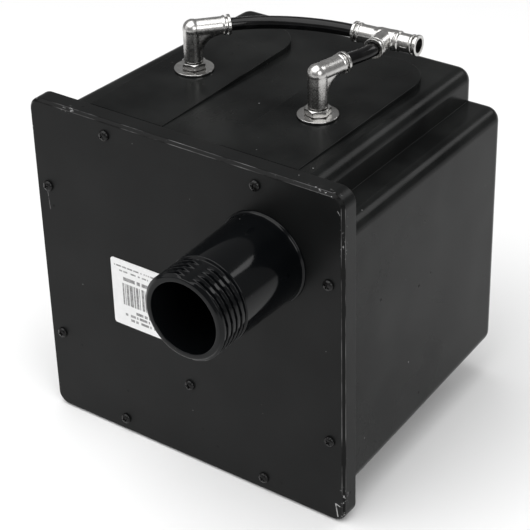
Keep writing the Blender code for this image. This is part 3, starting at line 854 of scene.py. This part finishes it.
def make_cover():
    thickness = COVER_HIGH.y - COVER_LOW.y
    cover = upright_prism("cover_plate", rounded_rectangle(HALF, HALF, COVER_CORNER, 16), 0, thickness)
    shape = bmesh.new()
    shape.from_mesh(cover.data)
    bevel(shape, [edge for edge in shape.edges if in_plane(edge, 1, FRONT)], COVER_CHAMFER, 1)
    rims = [edge for edge in shape.edges if len(edge.link_faces) == 2
            and math.degrees(edge.calc_face_angle()) > 30]
    bevel(shape, rims, COVER_RIM, 3)
    cover.data = finish_mesh(shape, "cover_plate")
    pocket = rounded_rectangle(POCKET_HALF, POCKET_HALF, POCKET_CORNER)
    combine(cover, "DIFFERENCE", upright_prism("pocket", pocket, COVER_FLOOR, thickness))
    holes = [("outlet_spout", SPOUT_HOLE, 96), *((node, SCREW_HOLE, 24) for node in SCREWS)]
    for node, radius, sides in holes:
        spot = middle_of(node)
        start = Vector((spot.x, FRONT - OVERRUN, spot.z))
        hole = cylinder("hole", radius, start, start - OUTWARD * 2 * thickness, sides)
        combine(cover, "DIFFERENCE", hole)
    smooth(cover, 30)
    dress(cover, COVER_PLASTIC, "tank", "cover_plastic", "front_cover")


def screw_mesh():
    """A pan-head screw whose head's underside is at zero and whose tip points down local Z."""
    shank = ((SCREW_SHANK, 0), (SCREW_SHANK, -SCREW_LENGTH), (0, -SCREW_LENGTH - SCREW_TIP))
    screw = turned("screw", SCREW_HEAD + shank, Vector(), UP, 40)
    top = Matrix.Translation((0, 0, SCREW_HEAD[0][1]))
    for turn in (0, 90):
        shape = bmesh.new()
        spin = Matrix.Rotation(math.radians(turn), 4, "Z")
        bmesh.ops.create_cube(shape, size=1, matrix=top @ spin @ Matrix.Diagonal((*CROSS_SLOT, 1)))
        combine(screw, "DIFFERENCE", add("slot", finish_mesh(shape, "slot")))
    combine(screw, "DIFFERENCE", turned("pit", CROSS_PIT, Vector(), UP, 24))
    smooth(screw, 35)
    mesh = screw.data
    bpy.data.objects.remove(screw)
    return mesh


def make_screws():
    """One screw for each node. Each is twisted on from the last, as hands leave them."""
    blank = screw_mesh()
    for number, node in enumerate(SCREWS):
        screw = add(node + "_fine", blank.copy())
        screw.data.transform(Matrix.Rotation(number * SCREW_TWIST, 4, "Z"))
        spot = middle_of(node)
        set_along(screw, Vector((spot.x, FRONT - SCREW_SINK, spot.z)), OUTWARD)
        dress(screw, SCREW_STEEL, "tank", "black_screw_steel", node)


def make_label():
    half = (LABEL_HIGH - LABEL_LOW) / 2
    centre = middle_of("label")
    outline = rounded_rectangle(half.x, half.z, LABEL_CORNER)
    base = [Vector((centre.x + x, LABEL_LOW.y, centre.z + z)) for x, z in outline]
    sheet = prism("label_sheet", base, Vector((0, LABEL_HIGH.y - LABEL_LOW.y + LABEL_SINK, 0)))
    smooth(sheet)
    dress(sheet, LABEL, "tank", "label_paper", "label")


# ---------------------------------------------------------------- spout


def smoothstep(low, high, value):
    t = min(1, max(0, (value - low) / (high - low)))
    return t * t * (3 - 2 * t)


def thread_height(height, angle):
    """How far the thread stands over its root, from 0 to 1. Two smooth flats interrupt it."""
    turns = (SPOUT_LENGTH - height) / THREAD_PITCH + angle / math.tau
    wave = 0.5 - 0.5 * math.cos(math.tau * turns)
    ridge = smoothstep(0.04, 0.5, wave)
    ends = smoothstep(THREAD_START, THREAD_START + MM, height)
    ends *= smoothstep(*THREAD_FADE, SPOUT_LENGTH - height)
    from_flat = abs((angle - FLAT_ANGLE + math.pi / 2) % math.pi - math.pi / 2)
    beside = smoothstep(FLAT_HALF, FLAT_HALF + FLAT_RUNOUT, from_flat)
    return ridge * ends * beside


def spout_radius(height, angle):
    """The spout's outer radius at a height in front of the cover."""
    if height > THREAD_START:
        return THREAD_ROOT + (THREAD_CREST - THREAD_ROOT) * thread_height(height, angle)
    if height > THREAD_START - THREAD_STEP:
        share = smoothstep(THREAD_START, THREAD_START - THREAD_STEP, height)
        return THREAD_ROOT + (SPOUT_SHOULDER - THREAD_ROOT) * share
    share = (THREAD_START - height) / THREAD_START
    return SPOUT_SHOULDER + (SPOUT_BASE - SPOUT_SHOULDER) * share


def spout_stations():
    """(radius or None for the outer wall, height) down the outside and back up the bore."""
    tail_radius, tail = SPOUT_TAIL
    lip_radius, lip_low, lip_high = SPOUT_LIP
    rim = SPOUT_LENGTH
    stations = [
        (SPOUT_BORE + RIM_EDGE, rim), (THREAD_ROOT - RIM_INSET, rim),
        (THREAD_ROOT - RIM_ROUND, rim - RIM_FALL),
    ]
    height = rim - SLICES_START
    while height > THREAD_START - SLICES_END:
        stations.append((None, height))
        height -= THREAD_SLICE
    bottom = lip_high + FILLET_START
    for step in range(BARREL_STEPS + 1):
        stations.append((None, height + (bottom - height) * step / BARREL_STEPS))
    stations += [
        (SPOUT_BASE + FILLET_WIDTH, lip_high + FILLET_HEIGHT), (lip_radius - LIP_ROUND, lip_high),
        (lip_radius, lip_high - LIP_FALL), (lip_radius, lip_low), (tail_radius, lip_low),
        (tail_radius, -tail), (SPOUT_BORE, -tail), (SPOUT_BORE, rim - RIM_EDGE),
        (SPOUT_BORE + BORE_ROUND, rim - BORE_ROUND),
    ]
    return stations


def make_spout():
    spot = middle_of("outlet_spout")
    angles = [math.tau * step / SPOUT_SIDES for step in range(SPOUT_SIDES)]
    shape = bmesh.new()
    rings = []
    for radius, height in spout_stations():
        reaches = [radius or spout_radius(height, angle) for angle in angles]
        rings.append([
            shape.verts.new((
                spot.x + reach * math.cos(angle), FRONT - height, spot.z + reach * math.sin(angle)
            ))
            for reach, angle in zip(reaches, angles)
        ])
    for last, this in zip([rings[-1], *rings], rings):
        for j in range(SPOUT_SIDES):
            shape.faces.new((last[j - 1], last[j], this[j], this[j - 1]))
    spout = add("spout_barrel", finish_mesh(shape, "spout_barrel"))
    smooth(spout, 50)
    dress(spout, SPOUT_PLASTIC, "tank", "spout_plastic", "outlet_spout")


# ---------------------------------------------------------------- air fittings


def leg_end(middle, out, face):
    """How far a leg reaches from a fitting's middle. face is the middle of its collet's face."""
    return (face - middle).dot(out) - COLLET_FLANGE - COLLET_GAP


def bored(obj, middle, out, face):
    """Cuts a push-in socket along out, with a stop for the hose and an airway to the middle."""
    end = leg_end(middle, out, face)
    pocket = end - SOCKET_DEPTH
    stop = pocket - HOSE_STOP
    combine(obj, "DIFFERENCE", turned("bore", [
        (0, end + OVERRUN), (SOCKET_RADIUS, end + OVERRUN), (SOCKET_RADIUS, pocket), (COLLET_BORE, pocket),
        (COLLET_BORE, stop), (AIRWAY, stop), (AIRWAY, 0), (0, 0),
    ], middle, out, 48))


def leg(middle, out, face, radius=LEG_RADIUS):
    """A leg with a soft bead at its end."""
    end = leg_end(middle, out, face)
    bead = end - BEAD_LENGTH
    return turned("leg", [
        (0, end), (BEAD_RADIUS - BEAD_EDGE, end), (BEAD_RADIUS, end - BEAD_EDGE),
        (BEAD_RADIUS, bead), (radius, bead - BEAD_SLOPE), (radius, 0), (0, 0),
    ], middle, out, 48)


def make_collet(port):
    node = port + "_collet"
    out = -inward(port + "_release_push")
    tip = -COLLET_FLANGE - COLLET_GAP - SLEEVE_LENGTH
    outline = soften([
        (COLLET_RADIUS, 0), (COLLET_RADIUS, -COLLET_FLANGE), (SLEEVE_RADIUS, -COLLET_FLANGE),
        (SLEEVE_RADIUS, tip), (COLLET_BORE, tip), (COLLET_BORE, 0),
    ], COLLET_EDGE, 4)
    collet = turned(node + "_ring", outline, collet_face(node, out), out)
    smooth(collet, 50)
    dress(collet, POLISHED, port + "_release", "nickel_plate", node)


def gusset(middle, out):
    """The web that fills the inside of the elbow's bend, with a round, hollow free edge."""
    radius = GUSSET_HOLLOW + GUSSET_HALF
    reach = radius + GUSSET_SINK
    side = out.cross(UP)
    curve = arc((reach, -reach), radius, 100, 170, 12)
    base = [middle + out * along + UP * up - side * GUSSET_HALF for along, up in [(0, 0), *curve]]
    edge = [ball("edge", GUSSET_HALF, middle + out * along + UP * up) for along, up in curve]
    return [prism("gusset", base, side * 2 * GUSSET_HALF), *edge]


def make_elbow(side, body):
    out = -inward(side + "_release_push")
    face = collet_face(side + "_collet", out)
    washer = middle_of(side + "_flange_washer")
    middle = Vector((washer.x, washer.y, face.z))
    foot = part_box(side + "_elbow")[0].z - middle.z
    elbow = melt(side + "_elbow_casting", [
        cylinder("riser", ELBOW_RADIUS, middle + UP * foot, middle),
        ball("corner", ELBOW_CORNER, middle),
        leg(middle, out, face),
        *gusset(middle, out),
    ], 14)
    combine(elbow, "DIFFERENCE", turned("well", [
        (0, 0), (AIRWAY, 0), (AIRWAY, foot + WELL_DEPTH), (WELL_RADIUS, foot + WELL_DEPTH),
        (WELL_RADIUS, foot - OVERRUN), (0, foot - OVERRUN),
    ], middle, UP, 48))
    bored(elbow, middle, out, face)
    smooth(elbow, 50)
    dress(elbow, CAST, body, "nickel_plate", side + "_elbow")


def make_inlet(side):
    """The flange washer and the hexagon stem of one inlet."""
    low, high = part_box(side + "_flange_washer")
    spot = (low + high) / 2
    foot = Vector((spot.x, spot.y, 0))
    rim = (high.x - low.x) / 2
    washer = ring(side + "_washer", INLET_HOLE, rim, low.z, high.z, foot, UP, WASHER_EDGE)
    smooth(washer)
    dress(washer, POLISHED, "tank", "nickel_plate", side + "_flange_washer")

    node = side + "_inlet_stem"
    far = max(node_points(node), key=lambda point: (point.xy - spot.xy).length)
    turn = math.degrees(math.atan2(far.y - spot.y, far.x - spot.x))
    hex_low = high.z + HEX_GAP
    stem = hexagon(side + "_stem", foot, turn, hex_low, hex_low + HEX_HEIGHT)
    bottom, top = (corner.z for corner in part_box(node))
    step = hex_low + HEX_HEIGHT / 2
    combine(stem, "UNION", turned("shank", [
        (0, top), (SPIGOT_RADIUS, top), (SPIGOT_RADIUS, step), (STEM_RADIUS, step),
        (STEM_RADIUS, bottom), (0, bottom),
    ], foot, UP, SHANK_SIDES))
    ends = (foot + UP * (bottom - OVERRUN), foot + UP * (top + OVERRUN))
    bore = cylinder("bore", STEM_BORE, *ends)
    combine(stem, "DIFFERENCE", bore)
    smooth(stem, 25)
    dress(stem, POLISHED, "tank", "nickel_plate", node)


def hexagon(name, foot, turn, low, high):
    """A hexagon with turned-down corners, one of them at the angle called turn."""
    corners = soften(arc((0, 0), HEX_RADIUS, turn, turn + 300, 5), HEX_EDGE)
    base = [foot + Vector((x, y, low - OVERRUN)) for x, y in corners]
    block = prism(name, base, UP * (high - low + 2 * OVERRUN))
    combine(block, "INTERSECT", turned("lens", [
        (0, high), (LENS_TOP, high), (LENS_RADIUS, high - HEX_CHAMFER),
        (LENS_RADIUS, low + HEX_CHAMFER), (LENS_TOP, low), (0, low),
    ], foot, UP, LENS_SIDES))
    return block


def make_tee():
    along = -inward("tee_port_release_push")
    branch = -inward("tee_branch_release_push")
    right = collet_face("tee_port_collet", along)
    left = collet_face("tee_left_collet", -along)
    bottom = collet_face("tee_branch_collet", branch)
    middle = (left + right) / 2
    tee = melt("tee_casting", [
        turned("hub", TEE_HUB, middle, along, 48),
        turned("collar", TEE_COLLAR, middle, along, 48),
        leg(middle, along, right),
        leg(middle, -along, left),
        leg(middle, branch, bottom, BRANCH_RADIUS),
    ], 10)
    for out, face in ((along, right), (-along, left), (branch, bottom)):
        bored(tee, middle, out, face)
    cut_marks(tee, middle, along, branch)
    smooth(tee, 50)
    dress(tee, TEE_NICKEL, "feed_swivel", "nickel_plate", "tee_fitting")


def cut_marks(tee, middle, along, branch):
    """Two short parallel grooves in the side of the tee's right arm."""
    start = middle + along * MARK_START + branch * MARK_OUT
    for lift in (MARK_LIFT - MARK_SPREAD, MARK_LIFT + MARK_SPREAD):
        spot = start + UP * lift
        mark = cylinder("mark", MARK_RADIUS, spot, spot + along * MARK_LENGTH, 12)
        combine(tee, "DIFFERENCE", mark)


# ---------------------------------------------------------------- hoses


def hose_route(start, start_out, end, end_out, steps=48):
    """A smooth curve between two collet faces that leaves and arrives straight."""
    pull = (end - start).length
    points = []
    for step in range(steps + 1):
        t = step / steps
        points.append(
            start * (2 * t**3 - 3 * t**2 + 1) + start_out * pull * (t**3 - 2 * t**2 + t)
            + end * (3 * t**2 - 2 * t**3) - end_out * pull * (t**3 - t**2)
        )
    return points


def make_hose(name, start, start_out, end, end_out):
    route = hose_route(start, start_out, end, end_out)
    points = [start - start_out * HOSE_GRIP, *route, end - end_out * HOSE_GRIP]
    curve = bpy.data.curves.new(name, "CURVE")
    curve.dimensions = "3D"
    curve.bevel_depth = HOSE_RADIUS
    curve.bevel_resolution = 10
    curve.use_fill_caps = True
    spline = curve.splines.new("POLY")
    spline.points.add(len(points) - 1)
    for control, point in zip(spline.points, points):
        control.co = (*point, 1)
    guide = add(name, curve)
    shape = bmesh.new()
    shape.from_mesh(evaluated_mesh(guide))
    bpy.data.objects.remove(guide)
    bmesh.ops.remove_doubles(shape, verts=shape.verts, dist=MERGE)
    hose = add(name, finish_mesh(shape, name))
    smooth(hose, 50)
    coat(hose, HOSE)
    return hose


def make_hoses():
    left_out = -inward("left_release_push")
    right_out = -inward("right_release_push")
    along = -inward("tee_port_release_push")
    branch = -inward("tee_branch_release_push")
    start = collet_face("left_collet", left_out)
    end = collet_face("tee_left_collet", -along)
    long_hose = make_hose("long_tube", start, left_out, end, -along)
    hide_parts("long_hose")
    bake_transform(long_hose)
    short_hose = make_hose(
        "short_tube", collet_face("right_collet", right_out), right_out,
        collet_face("tee_branch_collet", branch), branch,
    )
    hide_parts("short_hose")
    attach(short_hose, "feed_swivel")


# ---------------------------------------------------------------- pieces kept from the frame


def dress_hidden_nodes():
    """Gives the CAD nodes inside the tank and the sockets their materials."""
    for name, obj in frame["nodes"].items():
        if "seal" in name or "gasket" in name:
            coat(obj, RUBBER)
        elif "lock_nut" in name:
            coat(obj, POLISHED)
        elif name in ("baffle_plate", "spout_lock_ring"):
            coat(obj, TANK_PLASTIC)


# ---------------------------------------------------------------- stage, lights and camera


def make_stage():
    shape = bmesh.new()
    bmesh.ops.create_grid(shape, x_segments=2, y_segments=2, size=FLOOR_HALF)
    floor = add("floor", finish_mesh(shape, "floor"))
    floor.data.materials.append(floor_paint())
    floor.location.z = -FLOOR_DROP


def area_light(name, spot, target, size, power):
    data = bpy.data.lights.new(name, "AREA")
    data.shape = "RECTANGLE"
    data.size, data.size_y = size
    data.energy = power
    lamp = add(name, data)
    lamp.location = spot
    lamp.rotation_euler = (Vector(target) - Vector(spot)).to_track_quat("-Z", "Y").to_euler()


def make_lights():
    world = bpy.data.worlds.new("studio")
    world.use_nodes = True
    background = world.node_tree.nodes["Background"]
    background.inputs["Color"].default_value = (1, 1, 1, 1)
    background.inputs["Strength"].default_value = WORLD_STRENGTH
    bpy.context.scene.world = world
    for light in LIGHTS:
        area_light(*light)


def make_camera():
    azimuth, elevation, roll = (
        math.radians(angle) for angle in (CAMERA_AZIMUTH, CAMERA_ELEVATION, CAMERA_ROLL)
    )
    back = Vector((
        math.sin(azimuth) * math.cos(elevation), -math.cos(azimuth) * math.cos(elevation),
        math.sin(elevation),
    ))
    right = Vector((math.cos(azimuth), math.sin(azimuth), 0))
    up = back.cross(right)
    across = right * math.cos(roll) + up * math.sin(roll)
    above = up * math.cos(roll) - right * math.sin(roll)
    data = bpy.data.cameras.new("camera")
    data.lens = CAMERA_LENS
    data.sensor_width = CAMERA_SENSOR
    data.shift_x, data.shift_y = CAMERA_SHIFT
    data.clip_start = CAMERA_NEAREST
    camera = add("camera", data)
    turn = Matrix((across, above, back)).transposed().to_4x4()
    camera.matrix_world = Matrix.Translation(CAMERA_PLACE) @ turn
    bpy.context.scene.camera = camera


bpy.context.scene.view_settings.view_transform = "Standard"
make_camera()
make_stage()
make_lights()
make_tank()
make_flash_lines()
make_cover()
make_screws()
make_label()
make_spout()
for inlet_side, elbow_body in (("left", "tank"), ("right", "feed_swivel")):
    make_inlet(inlet_side)
    make_elbow(inlet_side, elbow_body)
make_tee()
for fitting_port in ("left", "right", "tee_left", "tee_branch", "tee_port"):
    make_collet(fitting_port)
make_hoses()
dress_hidden_nodes()
